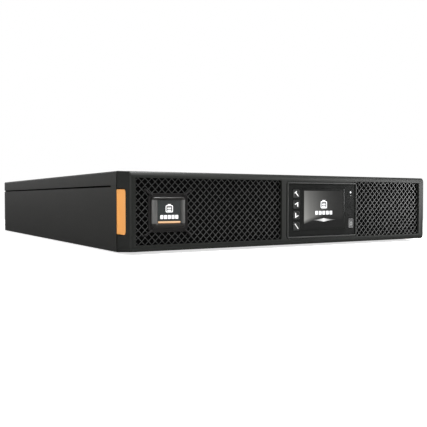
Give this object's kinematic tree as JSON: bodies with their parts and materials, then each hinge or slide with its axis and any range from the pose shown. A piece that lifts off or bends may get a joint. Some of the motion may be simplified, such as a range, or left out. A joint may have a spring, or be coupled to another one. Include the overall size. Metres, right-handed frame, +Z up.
{
  "type": "uninterruptible power supply",
  "caption": "Rack-height uninterruptible power supply with a slide-out battery pack, meshed pull-off bezel, turning badge, display with keys, rear fans and a socket panel.",
  "frame": {"origin": "on the floor, at the middle of the overall width and depth, the rear earth stud included", "axes": "-Y out of the front, +Y towards the rear, +X to the right seen from the front, +Z up"},
  "size_m": [0.43, 0.563, 0.085],
  "materials": {
    "black_paint": "satin powder coat",
    "bezel_plastic": "fine moulded texture",
    "gloss_black": "piano gloss",
    "orange_plastic": "fine moulded texture",
    "socket_plastic": "moulded",
    "battery_case": "moulded",
    "board_green": "solder mask",
    "zinc_steel": "zinc plate",
    "aluminium": "extruded",
    "brass": "bright",
    "copper_winding": "enamelled wire",
    "lead_insulation": "smooth",
    "lens": "clear",
    "screen": "smooth",
    "lamp": "clear"
  },
  "bodies": {
    "chassis": {"base_tray": "black_paint", "top_cover": "black_paint", "rear_panel": "black_paint", "front_bulkhead": "black_paint", "bay_divider": "zinc_steel", "display_housing": "gloss_black", "display_lens": "lens", "display_screen": "screen", "display_board": "board_green", "status_lamp": "lamp", "main_board": "board_green", "heatsink_left": "aluminium", "heatsink_right": "aluminium", "bus_capacitor_1": "socket_plastic", "bus_capacitor_2": "socket_plastic", "output_choke_1": "copper_winding", "output_choke_2": "copper_winding", "transformer": "battery_case", "battery_socket": "socket_plastic", "battery_lead_positive": "lead_insulation", "battery_lead_negative": "lead_insulation", "fan_frame_left": "socket_plastic", "fan_frame_right": "socket_plastic", "fan_guard_left": "zinc_steel", "fan_guard_right": "zinc_steel", "outlet_bank_lower": "socket_plastic", "outlet_bank_upper": "socket_plastic", "high_current_outlet": "socket_plastic", "mains_inlet": "socket_plastic", "breaker_body": "socket_plastic", "external_battery_socket": "socket_plastic", "card_slot_cover": "black_paint", "port_block": "zinc_steel", "ground_stud": "brass"},
    "battery_pack": {"battery_sled": "black_paint", "battery_1": "battery_case", "battery_2": "battery_case", "battery_3": "battery_case", "battery_4": "battery_case", "pull_handle": "black_paint", "battery_plug": "socket_plastic", "door_screw_1": "zinc_steel", "door_screw_2": "zinc_steel", "door_screw_3": "zinc_steel", "door_screw_4": "zinc_steel"},
    "bezel": {"bezel_frame": "bezel_plastic", "grille_left": "bezel_plastic", "grille_right": "bezel_plastic", "grip_left": "orange_plastic", "grip_right": "orange_plastic"},
    "badge": {"badge_frame": "bezel_plastic", "badge_face": "gloss_black"},
    "escape_key": {"escape_key": "gloss_black"},
    "up_key": {"up_key": "gloss_black"},
    "down_key": {"down_key": "gloss_black"},
    "enter_key": {"enter_key": "gloss_black"},
    "power_key": {"power_key": "gloss_black"},
    "fan_rotor_left": {"fan_rotor_left": "socket_plastic"},
    "fan_rotor_right": {"fan_rotor_right": "socket_plastic"},
    "breaker_button": {"breaker_button": "socket_plastic"}
  },
  "joints": [
    {"name": "battery_slide", "type": "slide", "parent": "chassis", "child": "battery_pack", "axis": [0, -1, 0], "range_m": [0, 0.43]},
    {"name": "bezel_pull", "type": "slide", "parent": "chassis", "child": "bezel", "axis": [0, -1, 0], "range_m": [0, 0.4945]},
    {"name": "badge_turn", "type": "hinge", "parent": "bezel", "child": "badge", "pos_m": [-0.1707, -0.2777, 0.0417], "axis": [0, 1, 0], "range_deg": [0, 90]},
    {"name": "escape_key_press", "type": "slide", "parent": "chassis", "child": "escape_key", "axis": [0, 1, 0], "range_m": [0, 0.0008], "stiffness_N_per_m": 800, "springref_m": -0.0005},
    {"name": "up_key_press", "type": "slide", "parent": "chassis", "child": "up_key", "axis": [0, 1, 0], "range_m": [0, 0.0008], "stiffness_N_per_m": 800, "springref_m": -0.0005},
    {"name": "down_key_press", "type": "slide", "parent": "chassis", "child": "down_key", "axis": [0, 1, 0], "range_m": [0, 0.0008], "stiffness_N_per_m": 800, "springref_m": -0.0005},
    {"name": "enter_key_press", "type": "slide", "parent": "chassis", "child": "enter_key", "axis": [0, 1, 0], "range_m": [0, 0.0008], "stiffness_N_per_m": 800, "springref_m": -0.0005},
    {"name": "power_key_press", "type": "slide", "parent": "chassis", "child": "power_key", "axis": [0, 1, 0], "range_m": [0, 0.0008], "stiffness_N_per_m": 800, "springref_m": -0.0005},
    {"name": "fan_left_spin", "type": "hinge", "parent": "chassis", "child": "fan_rotor_left", "pos_m": [0.104, 0.2588, 0.0425], "axis": [0, 1, 0], "continuous": true},
    {"name": "fan_right_spin", "type": "hinge", "parent": "chassis", "child": "fan_rotor_right", "pos_m": [0.172, 0.2588, 0.0425], "axis": [0, 1, 0], "continuous": true},
    {"name": "breaker_reset", "type": "slide", "parent": "chassis", "child": "breaker_button", "axis": [0, 1, 0], "range_m": [0, 0.004]}
  ],
  "couplings": [
    {"joint": "bezel_pull", "follows": "battery_slide", "ratio": 1.15}
  ]
}
